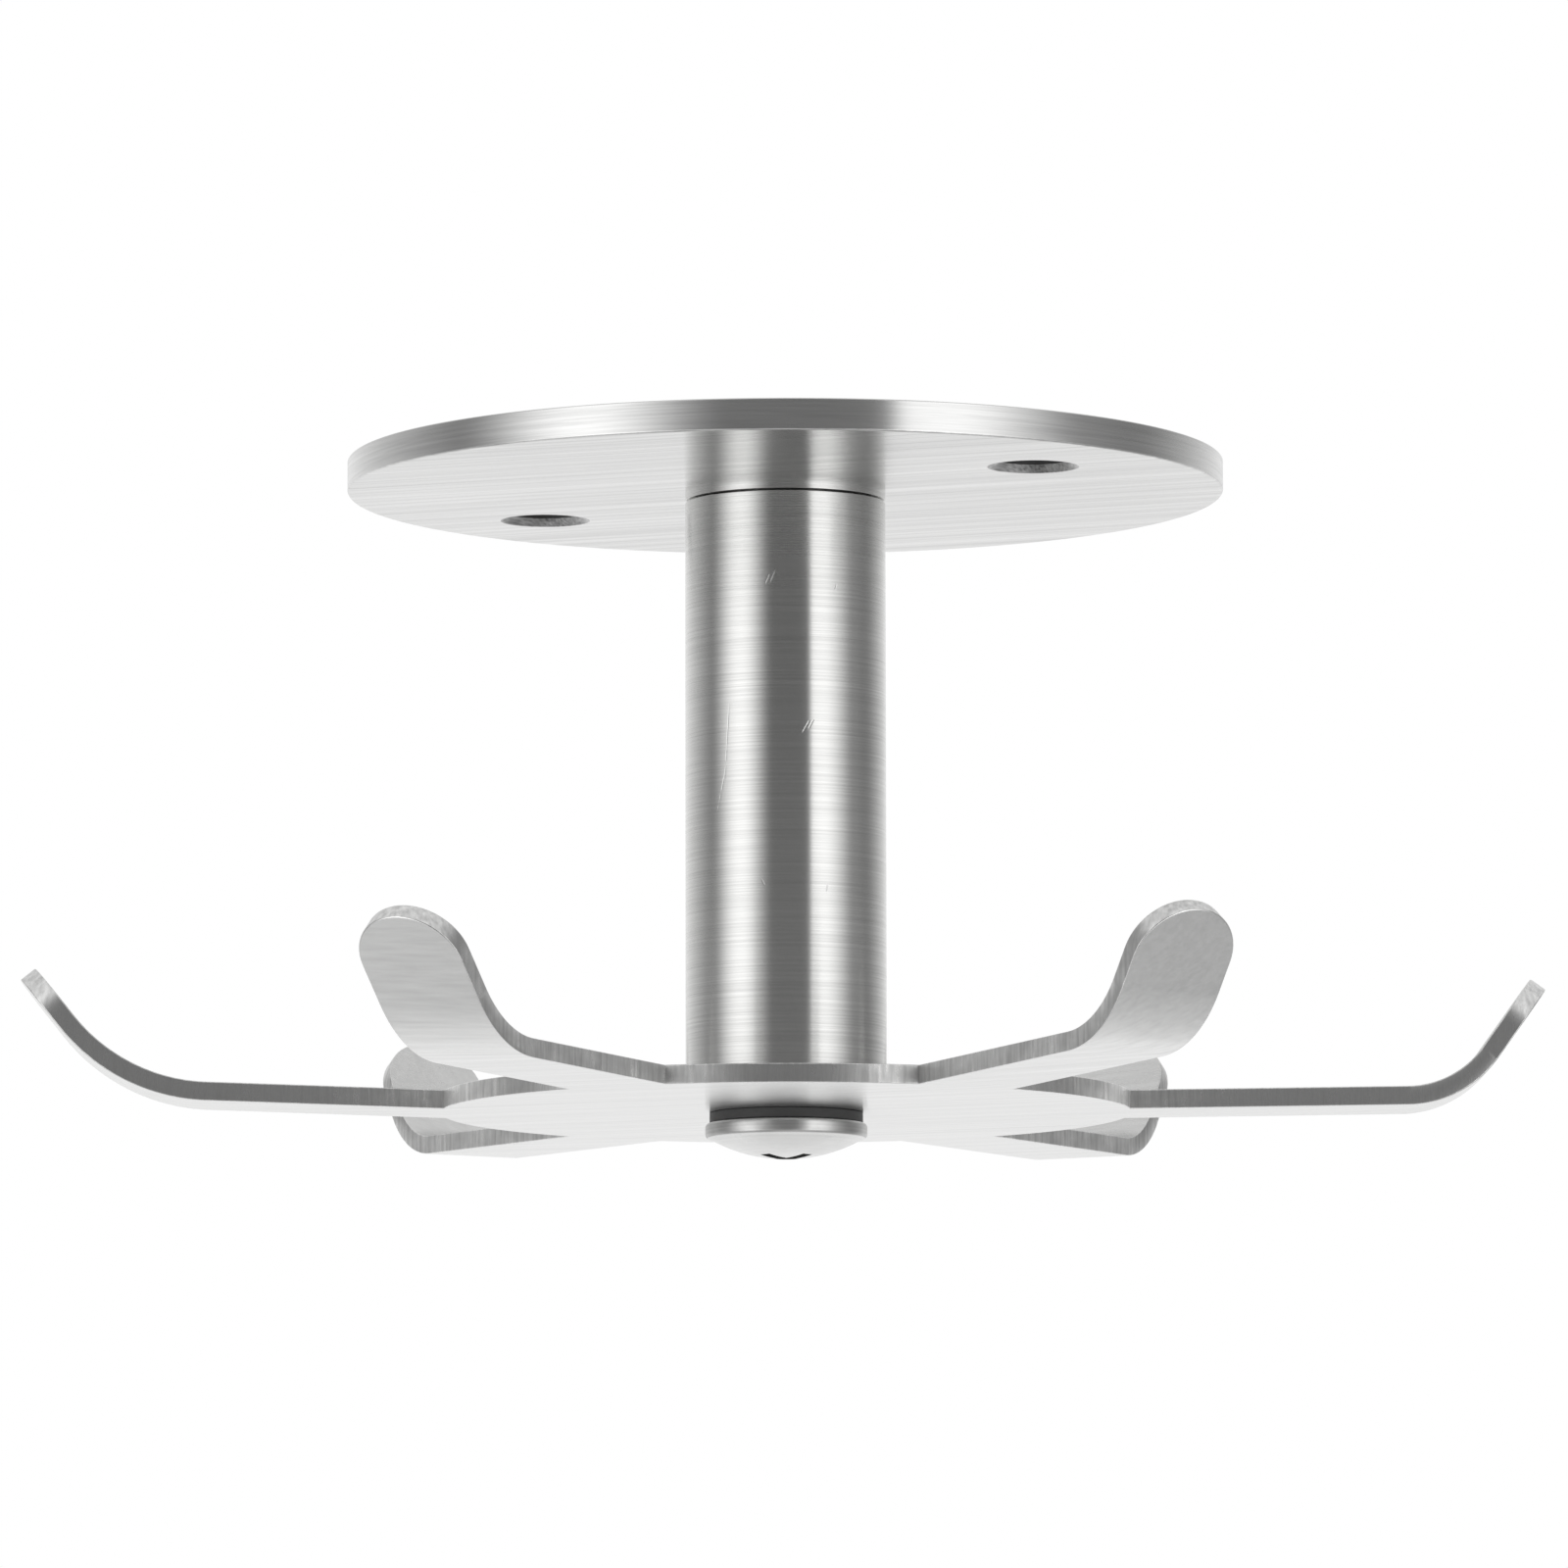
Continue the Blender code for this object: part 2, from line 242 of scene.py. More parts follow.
def lathe(bm, points, steps, centre=(0.0, 0.0), closed=False):
    """Turns profile points about an upright axis. Returns the first and last ring."""
    rings = []
    for radius, height in points:
        if radius > 0.0:
            rings.append(ring(bm, radius, height, steps, centre))
        else:
            rings.append(bm.verts.new((centre[0] * MM, centre[1] * MM, height * MM)))
    pairs = list(zip(rings, rings[1:]))
    if closed:
        pairs.append((rings[-1], rings[0]))
    for upper, lower in pairs:
        if isinstance(upper, bmesh.types.BMVert):
            fan(bm, upper, lower, True)
        elif isinstance(lower, bmesh.types.BMVert):
            fan(bm, lower, upper, False)
        else:
            bridge(bm, upper, lower)
    return rings[0], rings[-1]


def loop_edges(bm, loop):
    """The edges round a closed loop of vertices, made where they are missing."""
    edges = []
    for start, end in zip(loop, loop[1:] + loop[:1]):
        edges.append(bm.edges.get((start, end)) or bm.edges.new((start, end)))
    return edges


def fill_between(bm, loops, facing):
    """Fills the level area inside the first loop and outside the others. Returns the new faces."""
    edges = []
    for loop in loops:
        edges += loop_edges(bm, loop)
    normal = (0.0, 0.0, facing)
    filled = bmesh.ops.triangle_fill(bm, use_beauty=True, use_dissolve=False, edges=edges, normal=normal)
    return [part for part in filled["geom"] if isinstance(part, bmesh.types.BMFace)]


def make_piece(name, bm, materials, body, node):
    """Turns a bmesh into a smooth-shaded piece that rides on a body and stands for a CAD node."""
    bmesh.ops.recalc_face_normals(bm, faces=bm.faces)
    mesh = bpy.data.meshes.new(name)
    bm.to_mesh(mesh)
    bm.free()
    mesh.shade_smooth()
    for material in materials:
        mesh.materials.append(material)
    piece = bpy.data.objects.new(name, mesh)
    bpy.context.scene.collection.objects.link(piece)
    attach(piece, body)
    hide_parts(node)
    return piece


def keep_sharp(piece, angle):
    """Keeps the edges sharp that turn by more than an angle."""
    piece.data.set_sharp_from_angle(angle=math.radians(angle))


def weigh_normals(piece):
    """Keeps flat faces flat where they meet a rounded edge, and unrounded corners crisp."""
    keep_sharp(piece, SHARP_ANGLE)
    weighted = piece.modifiers.new("flat_faces", "WEIGHTED_NORMAL")
    weighted.mode = "FACE_AREA"
    weighted.weight = 100
    weighted.keep_sharp = True


def bake_modifiers(piece):
    """Keeps the evaluated mesh and drops the modifiers."""
    bpy.context.view_layer.update()
    evaluated = piece.evaluated_get(bpy.context.evaluated_depsgraph_get())
    mesh = bpy.data.meshes.new_from_object(evaluated)
    mesh.name = piece.data.name + "_cut"
    piece.modifiers.clear()
    piece.data = mesh


def join_close_points(piece):
    """Joins the points that a cut leaves almost in the same place."""
    bm = bmesh.new()
    bm.from_mesh(piece.data)
    bmesh.ops.remove_doubles(bm, verts=bm.verts, dist=CLOSE * MM)
    bm.to_mesh(piece.data)
    bm.free()


def node_box(node):
    """A round CAD node's radius, top and bottom."""
    low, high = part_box(node)
    return high.x / MM, high.z / MM, low.z / MM


# Shader nodes


class Nodes:
    """Short ways to add shader nodes to one material or world."""

    def __init__(self, owner):
        owner.use_nodes = True
        self.tree = owner.node_tree

    def add(self, kind, inputs=None, **settings):
        """A new node, with its inputs and its own settings."""
        node = self.tree.nodes.new(kind)
        for name, value in settings.items():
            setattr(node, name, value)
        for name, value in (inputs or {}).items():
            self.give(node.inputs[name], value)
        return node

    def give(self, socket, value):
        """Links a node's output to a socket, or sets a plain value on it."""
        if isinstance(value, bpy.types.NodeSocket):
            self.tree.links.new(value, socket)
        else:
            socket.default_value = value

    def math(self, operation, first, second=0.0):
        """One operation on two values."""
        return self.add("ShaderNodeMath", {0: first, 1: second}, operation=operation).outputs[0]

    def axes(self, vector):
        """The X, Y and Z of a vector."""
        return self.add("ShaderNodeSeparateXYZ", {"Vector": vector}).outputs

    def vector(self, **axes):
        """A vector from its X, Y and Z. One that isn't given is 0."""
        return self.add("ShaderNodeCombineXYZ", axes).outputs[0]

    def length(self, vector):
        """How long a vector is."""
        return self.add("ShaderNodeVectorMath", {0: vector}, operation="LENGTH").outputs["Value"]

    def turn_from_front(self, vector):
        """Angle about Z in radians, from -Y towards +X."""
        axes = self.axes(vector)
        forward = self.math("MULTIPLY", axes["Y"], -1.0)
        return self.math("ARCTAN2", axes["X"], forward)

    def remapped(self, value, low, high, to_low, to_high, **settings):
        """A value moved from one range to another, and held inside it."""
        ends = {"From Min": low, "From Max": high, "To Min": to_low, "To Max": to_high}
        return self.add("ShaderNodeMapRange", {"Value": value, **ends}, **settings).outputs[0]

    def spread(self, noise, reach, at_low, at_high):
        """Turns a noise's values within a reach of 0.5 into values from at_low to at_high."""
        return self.remapped(noise, 0.5 - reach, 0.5 + reach, at_low, at_high)

    def smooth(self, value, low, high):
        """0 at low and 1 at high, with a soft start and end. low may be the larger."""
        ends = (low, high, 0.0, 1.0) if low < high else (high, low, 1.0, 0.0)
        return self.remapped(value, *ends, interpolation_type="SMOOTHSTEP")

    def blend(self, first, second, share):
        """The first value with a share of the second."""
        kept = self.math("MULTIPLY", first, 1.0 - share)
        return self.math("ADD", kept, self.math("MULTIPLY", second, share))

    def noise(self, vector, scale=1.0, detail=2.0, roughness=0.5):
        """Smooth noise that mostly lies near 0.5."""
        inputs = {"Vector": vector, "Scale": scale, "Detail": detail, "Roughness": roughness}
        return self.add("ShaderNodeTexNoise", inputs).outputs["Fac"]

    def stretched(self, coordinates, scale, turn=0.0):
        """Coordinates turned about Z and then stretched."""
        inputs = {"Vector": coordinates, "Angle": math.radians(turn)}
        turned = self.add("ShaderNodeVectorRotate", inputs, rotation_type="Z_AXIS").outputs[0]
        return self.add("ShaderNodeMapping", {"Vector": turned, "Scale": scale}).outputs[0]

    def mixed(self, factor, first, second):
        """The first number at 0 and the second at 1."""
        return self.add("ShaderNodeMix", {0: factor, 2: first, 3: second}).outputs[0]

    def mixed_colour(self, factor, first, second):
        """The first colour at 0 and the second at 1."""
        node = self.add("ShaderNodeMix", {0: factor}, data_type="RGBA")
        for number, colour in ((6, first), (7, second)):
            if not isinstance(colour, bpy.types.NodeSocket):
                colour = (*colour, 1.0)
            self.give(node.inputs[number], colour)
        return node.outputs[2]

    def mixed_shader(self, factor, first, second):
        """The first shader at 0 and the second at 1."""
        return self.add("ShaderNodeMixShader", {0: factor, 1: first, 2: second}).outputs[0]

    def shaded(self, factor, colour, dark, light):
        """A colour times dark at 0 and times light at 1."""
        return self.mixed_colour(factor, scaled_colour(colour, dark), scaled_colour(colour, light))


class Surface(Nodes):
    """A Principled material in the making. place is the object's own coordinates, in metres."""

    def __init__(self, name):
        self.material = bpy.data.materials.new(name)
        super().__init__(self.material)
        self.shader = self.tree.nodes["Principled BSDF"]
        self.place = self.add("ShaderNodeTexCoord").outputs["Object"]

    def look(self, inputs):
        """Gives values to the shader."""
        for name, value in inputs.items():
            self.give(self.shader.inputs[name], value)

    def emboss(self, height, strength, depth):
        """Bumps of a depth in millimetres where the height goes from 0 to 1."""
        bump = self.add("ShaderNodeBump", {"Strength": strength, "Distance": depth * MM, "Height": height})
        self.look({"Normal": bump.outputs[0]})


def scaled_colour(colour, factor):
    """A colour made brighter or darker, with no channel above 1."""
    return tuple(min(channel * factor, 1.0) for channel in colour)


# Materials


# How a brushed face looks: its roughness, how far its highlights stretch across the brush lines, how much
# its tone varies, how deep the lines are and how much of the tone is in wide lines
Finish = namedtuple("Finish", "roughness anisotropy contrast bump wide_share")
SHEET_FINISH = Finish(0.22, 0.75, 0.17, 0.3, 0.55)
ROTOR_FINISH = Finish(0.21, 0.6, 0.08, 0.22, 0.25)
MILL_FINISH = Finish(0.27, 0.6, 0.06, 0.2, 0.4)
TUBE_FINISH = Finish(0.26, 0.9, 0.1, 0.14, 0.0)

# How often a noise repeats per metre, along X, Y and Z where there are three: little along brush lines and
# much across them
SHEET_GRAIN = (36.0, 2600.0, 2600.0)
RIM_GRAIN = (90.0, 90.0, 4200.0)
TUBE_GRAIN = (80.0, 80.0, 9000.0)
CUT_GRAIN = (2600.0, 2600.0, 260.0)
CUT_STAINS = (300.0, 300.0, 500.0)
TURNED_GRAIN = (5200.0, 1.0, 5200.0)
TURNED_BLOTCHES = 330.0
SMUDGES = 42.0
NYLON_GRAIN = 2600.0
NYLON_CLOUDS = 260.0
MARK_GAPS = 900.0
# Wide brush lines are this much coarser
WIDE_LINES = 0.38

# How far from 0.5 a noise has its full effect: the nearer, the stronger the pattern
SOFT_REACH = 0.2
STRONG_REACH = 0.15
CUT_REACH = 0.14

# Brushed steel
SMUDGE_SHARE = 0.2
SMUDGE_ROUGHNESS = 0.02
LINE_ROUGHNESS = 0.015
BRUSHED_DEPTH = 0.01

# The laser-cut edge
CUT_STAIN_SHARE = 0.4
CUT_DARK = 0.74
CUT_LIGHT = 1.2
CUT_ROUGHEST = 0.38
CUT_SMOOTHEST = 0.24
CUT_BUMP = 0.3
CUT_DEPTH = 0.03

# Turned steel
BLOTCH_SHARE = 0.5
TURNED_ROUGHER = 0.07
TURNED_SMOOTHER = 0.05
TURNED_BUMP = 0.2
TURNED_DEPTH = 0.02

# Nylon
NYLON_DARK = 0.82
NYLON_ROUGHNESS = 0.06
NYLON_BUMP = 0.3
NYLON_DEPTH = 0.03

# Scratches on the tube: how far round from the front, the height of the middle, the lean, the length and
# the half width
Mark = namedtuple("Mark", "turn height lean length half_width")
TUBE_MARKS = (
    Mark(-35.5, -23.3, -4.0, 6.8, 0.08),
    Mark(-39.5, -27.1, -14.0, 3.4, 0.09),
    Mark(-10.5, -10.4, -24.0, 1.0, 0.08),
    Mark(-7.5, -10.2, -24.0, 1.2, 0.08),
    Mark(11.5, -22.2, -30.0, 1.3, 0.08),
    Mark(14.5, -22.0, -30.0, 1.0, 0.08),
    Mark(-13.5, -34.4, 26.0, 0.9, 0.08),
    Mark(30.0, -10.9, -20.0, 0.6, 0.08),
    Mark(24.0, -35.0, -10.0, 0.7, 0.08),
)
MARK_COLOUR = (0.95, 0.95, 0.94)
MARK_ROUGHNESS = 0.3
# How many times deeper a scratch is than a brush line
MARK_DEPTH = 8.0
# A scratch is gone where its noise is below the first value, and whole above the second
MARK_GONE = 0.3
MARK_WHOLE = 0.5

# The plate's and rotor's brush lines run this far round from +X
SHEET_GRAIN_TURN = -22.0
UPRIGHT = (0.0, 0.0, 1.0)


def scratches(surface, marks):
    """1 on scratches of the tube and 0 elsewhere, from places unrolled round the axis."""
    around = surface.math("MULTIPLY", surface.turn_from_front(surface.place), TUBE_RADIUS)
    height = surface.math("DIVIDE", surface.axes(surface.place)["Z"], MM)
    unrolled = surface.vector(X=around, Y=height)
    gaps = surface.noise(surface.place, scale=MARK_GAPS)
    total = 0.0
    for mark in marks:
        inputs = {
            "Vector": unrolled,
            "Location": (math.radians(mark.turn) * TUBE_RADIUS, mark.height, 0.0),
            "Rotation": (0.0, 0.0, math.radians(mark.lean)),
        }
        local = surface.add("ShaderNodeMapping", inputs, vector_type="TEXTURE").outputs[0]
        axes = surface.axes(local)
        across = surface.math("ABSOLUTE", axes["X"])
        along = surface.math("ABSOLUTE", axes["Y"])
        line = surface.smooth(across, mark.half_width, 0.0)
        line = surface.math("MULTIPLY", line, surface.smooth(along, mark.length / 2, mark.length / 4))
        line = surface.math("MULTIPLY", line, surface.smooth(gaps, MARK_GONE, MARK_WHOLE))
        total = surface.math("MAXIMUM", total, line)
    return total


def brushed_steel(name, colour, finish, grain, tangent, turn=0.0, marks=()):
    """Stainless steel with brush lines that run a turn round from the grain's long axis. tangent is the
    direction across the lines, and marks are scratches on the tube."""
    surface = Surface(name)
    fine_place = surface.stretched(surface.place, grain, -turn)
    wide_grain = tuple(repeats * WIDE_LINES for repeats in grain)
    wide_place = surface.stretched(surface.place, wide_grain, -turn)
    fine_lines = surface.noise(fine_place, detail=3.0, roughness=0.6)
    wide_lines = surface.noise(wide_place, detail=3.0)
    smudges = surface.noise(surface.place, scale=SMUDGES, detail=3.0)
    lines = surface.blend(fine_lines, wide_lines, finish.wide_share)
    tone = surface.spread(surface.blend(lines, smudges, SMUDGE_SHARE), STRONG_REACH, 0.0, 1.0)
    paint = surface.shaded(tone, colour, 1.0 - finish.contrast, 1.0 + finish.contrast)
    roughest = finish.roughness + LINE_ROUGHNESS
    smoothest = finish.roughness - LINE_ROUGHNESS
    rough = surface.spread(lines, SOFT_REACH, roughest, smoothest)
    smudged = surface.spread(smudges, SOFT_REACH, -SMUDGE_ROUGHNESS, SMUDGE_ROUGHNESS)
    rough = surface.math("ADD", rough, smudged)
    relief = fine_lines
    if marks:
        scratched = scratches(surface, marks)
        paint = surface.mixed_colour(scratched, paint, MARK_COLOUR)
        rough = surface.math("ADD", rough, surface.math("MULTIPLY", scratched, MARK_ROUGHNESS))
        relief = surface.math("SUBTRACT", relief, surface.math("MULTIPLY", scratched, MARK_DEPTH))
    direction = surface.vector(**dict(zip("XYZ", tangent)))
    surface.look({"Base Color": paint, "Roughness": rough, "Metallic": 1.0})
    surface.look({"Anisotropic": finish.anisotropy, "Tangent": direction})
    surface.emboss(relief, finish.bump, BRUSHED_DEPTH)
    return surface.material


def sheet_steel(name, colour, finish):
    """Steel sheet, brushed in straight lines."""
    turn = math.radians(SHEET_GRAIN_TURN)
    across = (-math.sin(turn), math.cos(turn), 0.0)
    return brushed_steel(name, colour, finish, SHEET_GRAIN, across, SHEET_GRAIN_TURN)


def laser_cut_steel(name, colour):
    """The cut edge of the sheet, with upright striations and darker stains."""
    surface = Surface(name)
    striations = surface.noise(surface.stretched(surface.place, CUT_GRAIN), detail=3.0, roughness=0.6)
    stains = surface.noise(surface.stretched(surface.place, CUT_STAINS), detail=3.0)
    pattern = surface.blend(striations, stains, CUT_STAIN_SHARE)
    tone = surface.spread(pattern, CUT_REACH, 0.0, 1.0)
    rough = surface.spread(pattern, STRONG_REACH, CUT_ROUGHEST, CUT_SMOOTHEST)
    paint = surface.shaded(tone, colour, CUT_DARK, CUT_LIGHT)
    surface.look({"Base Color": paint, "Roughness": rough, "Metallic": 1.0})
    surface.emboss(pattern, CUT_BUMP, CUT_DEPTH)
    return surface.material


def turned_steel(name, colour, roughness, contrast=0.12):
    """Lathe-turned steel with fine rings round the axis."""
    surface = Surface(name)
    axes = surface.axes(surface.place)
    reach = surface.length(surface.vector(X=axes["X"], Y=axes["Y"]))
    profile = surface.vector(X=reach, Z=axes["Z"])
    rings = surface.noise(surface.stretched(profile, TURNED_GRAIN))
    blotches = surface.noise(surface.place, scale=TURNED_BLOTCHES, detail=3.0)
    pattern = surface.blend(rings, blotches, BLOTCH_SHARE)
    tone = surface.spread(pattern, STRONG_REACH, 0.0, 1.0)
    rough = surface.spread(pattern, SOFT_REACH, roughness + TURNED_ROUGHER, roughness - TURNED_SMOOTHER)
    paint = surface.shaded(tone, colour, 1.0 - contrast, 1.0 + contrast)
    surface.look({"Base Color": paint, "Roughness": rough, "Metallic": 1.0})
    surface.emboss(rings, TURNED_BUMP, TURNED_DEPTH)
    return surface.material


def moulded_nylon(name, colour, roughness):
    """Matt nylon with a fine moulded grain."""
    surface = Surface(name)
    grain = surface.noise(surface.place, scale=NYLON_GRAIN, detail=3.0)
    clouds = surface.noise(surface.place, scale=NYLON_CLOUDS)
    paint = surface.shaded(clouds, colour, NYLON_DARK, 1.0)
    rough = surface.spread(grain, SOFT_REACH, roughness - NYLON_ROUGHNESS, roughness + NYLON_ROUGHNESS)
    surface.look({"Base Color": paint, "Roughness": rough})
    surface.emboss(grain, NYLON_BUMP, NYLON_DEPTH)
    return surface.material


plate_steel = sheet_steel("plate_steel", (0.79, 0.79, 0.785), SHEET_FINISH)
rotor_steel = sheet_steel("rotor_steel", (0.83, 0.83, 0.825), ROTOR_FINISH)
# The top faces of the plate and rotor are a mill finish whose colour is darkened as painted shade
shaded_mill_steel = sheet_steel("shaded_mill_steel", (0.5, 0.5, 0.495), MILL_FINISH)
shaded_rotor_top_steel = sheet_steel("shaded_rotor_top_steel", (0.62, 0.62, 0.615), MILL_FINISH)
rim_steel = brushed_steel("rim_steel", (0.64, 0.64, 0.635), TUBE_FINISH, RIM_GRAIN, UPRIGHT)
tube_steel = brushed_steel(
    "tube_steel", (0.65, 0.65, 0.64), TUBE_FINISH, TUBE_GRAIN, UPRIGHT, marks=TUBE_MARKS
)
cut_edge = laser_cut_steel("cut_edge", (0.64, 0.64, 0.635))
screw_steel = turned_steel("screw_steel", (0.74, 0.74, 0.735), roughness=0.22, contrast=0.06)
head_rim_steel = turned_steel("head_rim_steel", (0.56, 0.56, 0.555), roughness=0.34, contrast=0.25)
sink_steel = turned_steel("sink_steel", (0.42, 0.42, 0.42), roughness=0.35, contrast=0.6)
machined_steel = turned_steel("machined_steel", (0.45, 0.45, 0.46), roughness=0.38)
# Near-black painted shade for the plate's bores and deep countersinks and for the screw's cross recess
painted_shade_steel = turned_steel("painted_shade_steel", (0.07, 0.07, 0.07), roughness=0.5)
white_nylon = moulded_nylon("white_nylon", (0.8, 0.79, 0.75), roughness=0.5)
# Near-black nylon whose colour is painted shade of the gap between the rotor and the pivot screw's head
dark_nylon = moulded_nylon("dark_nylon", (0.07, 0.07, 0.07), roughness=0.6)


# Mounting plate


Hole = namedtuple("Hole", "centre radius top_radius bottom_radius")


def plate_holes():
    """The centre hole with its countersink above, and the fixing holes with theirs below."""
    holes = [Hole((0.0, 0.0), CENTRE_HOLE_RADIUS, CENTRE_SINK_RADIUS, CENTRE_HOLE_RADIUS)]
    for angle in FIXING_ANGLES:
        turn = math.radians(angle)
        centre = (FIXING_CIRCLE_RADIUS * math.cos(turn), FIXING_CIRCLE_RADIUS * math.sin(turn))
        holes.append(Hole(centre, FIXING_HOLE_RADIUS, FIXING_HOLE_RADIUS, FIXING_SINK_RADIUS))
    return holes


def hole_profile(hole, top, bottom):
    """Wall of a through hole, from the top face down, with a 90 degree countersink on each side whose
    mouth is wider than the hole."""
    points = [
        (hole.top_radius + HOLE_EDGE, top, 0.0),
        (hole.top_radius, top, HOLE_EDGE / 2),
    ]
    if hole.top_radius > hole.radius:
        points.append((hole.radius, top - (hole.top_radius - hole.radius), 0.0))
    if hole.bottom_radius > hole.radius:
        points.append((hole.radius, bottom + (hole.bottom_radius - hole.radius), 0.0))
        # A ring where the countersink's painted shade begins
        points.append((hole.bottom_radius - SINK_SHADE_DEPTH, bottom + SINK_SHADE_DEPTH, 0.0))
    points.append((hole.bottom_radius, bottom, HOLE_EDGE / 2))
    points.append((hole.bottom_radius + HOLE_EDGE, bottom, 0.0))
    return rounded(points)


def build_mounting_plate():
    """The plate's rim and the walls of its holes, with a face across above and below."""
    radius, top, bottom = node_box("mounting_plate")
    bm = bmesh.new()
    rim = [
        (radius - 2 * PLATE_TOP_EDGE, top, 0.0),
        (radius, top, PLATE_TOP_EDGE),
        (radius, bottom, PLATE_EDGE),
        (radius - 2 * PLATE_EDGE, bottom, 0.0),
    ]
    upper, lower = lathe(bm, rounded(rim), PLATE_STEPS)
    for face in bm.faces:
        face.normal_update()
        face.material_index = PLATE_UNDERSIDE if face.normal.z < LOOKS_DOWN else PLATE_RIM
    upper_loops, lower_loops = [upper], [lower]
    for hole in plate_holes():
        already = set(bm.faces)
        hole_upper, hole_lower = lathe(bm, hole_profile(hole, top, bottom), HOLE_STEPS, hole.centre)
        for face in bm.faces:
            if face not in already:
                # Faces above this height take the near-black painted shade
                deep = face.calc_center_median().z / MM > bottom + SINK_SHADE_DEPTH
                face.material_index = PLATE_SHADED_BORE if deep else PLATE_SINK
        upper_loops.append(hole_upper)
        lower_loops.append(hole_lower)
    # The top face takes the steel darkened as painted shade
    for face in fill_between(bm, upper_loops, 1.0):
        face.material_index = PLATE_TOP
    fill_between(bm, lower_loops, -1.0)
    materials = [plate_steel, rim_steel, sink_steel, painted_shade_steel, shaded_mill_steel]
    plate = make_piece("plate", bm, materials, POST, "mounting_plate")
    weigh_normals(plate)


def build_plate_screw():
    """A countersunk screw with a hexagon socket in its flat top."""
    radius, top, bottom = node_box("plate_screw")
    cone_end = top - (radius - PLATE_SHANK_RADIUS)
    outside = [
        (radius - HOLE_EDGE, top, 0.0),
        (radius, top, HOLE_EDGE / 2),
        (PLATE_SHANK_RADIUS, cone_end, PLATE_SHANK_FILLET),
        (PLATE_SHANK_RADIUS, bottom, PLATE_SHANK_EDGE),
        (0.0, bottom, 0.0),
    ]
    bm = bmesh.new()
    upper, _ = lathe(bm, rounded(outside), HOLE_STEPS)
    corner = SOCKET_ACROSS_FLATS / math.sqrt(3.0)
    socket = ((SOCKET_MOUTH_SIZE, 0.0), (1.0, SOCKET_MOUTH_DEPTH), (1.0, SOCKET_DEPTH))
    hexagons = [ring(bm, corner * size, top - depth, HEXAGON_SIDES) for size, depth in socket]
    fill_between(bm, [upper, hexagons[0]], 1.0)
    for outer, inner in zip(hexagons, hexagons[1:]):
        bridge(bm, inner, outer)
    drill_point = bm.verts.new((0.0, 0.0, (top - SOCKET_DEPTH - DRILL_POINT_DEPTH) * MM))
    fan(bm, drill_point, hexagons[-1], True)
    screw = make_piece("plate_screw_fine", bm, [machined_steel], POST, "plate_screw")
    keep_sharp(screw, PLATE_SCREW_SHARP_ANGLE)


# Post and washers


def build_ring(name, node, profile, material):
    """A closed profile turned all the way round the axis."""
    bm = bmesh.new()
    lathe(bm, rounded(profile, closed=True), TUBE_STEPS, closed=True)
    weigh_normals(make_piece(name, bm, [material], POST, node))


def build_post():
    """The spigot, whose flange meets the plate, and the tube that hangs on it below a thin seam."""
    radius, tube_top, tube_bottom = node_box("post_tube")
    _, _, plate_bottom = node_box("mounting_plate")
    _, _, plug_bottom = node_box("top_spigot")
    inner = radius - TUBE_WALL
    plug_radius = inner - PLUG_PLAY
    seam_top = tube_top + (CAD_GAP + SEAM) / 2
    seam_bottom = seam_top - SEAM
    flange_and_plug = [
        (radius, plate_bottom, 0.0),
        (radius, seam_top, FLANGE_EDGE),
        (plug_radius, seam_top, 0.0),
        (plug_radius, plug_bottom, PLUG_EDGE),
        (CENTRE_HOLE_RADIUS, plug_bottom, 0.0),
        (CENTRE_HOLE_RADIUS, plate_bottom, 0.0),
    ]
    wall = [
        (radius, seam_bottom, TUBE_TOP_EDGE),
        (radius, tube_bottom, TUBE_EDGE),
        (inner, tube_bottom, TUBE_EDGE),
        (inner, seam_bottom, 0.0),
    ]
    build_ring("spigot", "top_spigot", flange_and_plug, tube_steel)
    build_ring("tube", "post_tube", wall, tube_steel)


def build_washer(name, node, material, growth):
    """A washer that narrows the CAD model's gaps above and below it."""
    radius, top, bottom = node_box(node)
    profile = [
        (radius, top + growth, WASHER_EDGE),
        (radius, bottom - growth, WASHER_EDGE),
        (ROTOR_BORE_RADIUS, bottom - growth, WASHER_EDGE),
        (ROTOR_BORE_RADIUS, top + growth, WASHER_EDGE),
    ]
    build_ring(name, node, profile, material)


# Rotor


def arm_point(arm, along):
    """Reach and height of the sheet's middle surface at a distance along the arm from the axis."""
    rise = math.radians(arm.rise)
    slope = math.radians(arm.tip_slope)
    radius = arm.bend_radius + SHEET / 2
    straight = min(along, arm.bend_start) - ARM_ROOT
    bent = min(max(along - arm.bend_start, 0.0), radius * (slope - rise))
    tail = max(along - arm.bend_start - bent, 0.0)
    angle = rise + bent / radius
    reach = ARM_ROOT + straight * math.cos(rise) + tail * math.cos(angle)
    reach += radius * (math.sin(angle) - math.sin(rise))
    height = straight * math.sin(rise) + tail * math.sin(angle)
    height += radius * (math.cos(rise) - math.cos(angle))
    return reach, height


def arm_vertex(bm, arm, along, across, middle):
    """A vertex of an arm's middle surface. middle is the height of the hub's."""
    reach, height = arm_point(arm, along)
    turn = math.radians(arm.direction + ROTOR_TURN)
    x = reach * math.cos(turn) - across * math.sin(turn)
    y = reach * math.sin(turn) + across * math.cos(turn)
    return bm.verts.new((x * MM, y * MM, (middle + height) * MM))


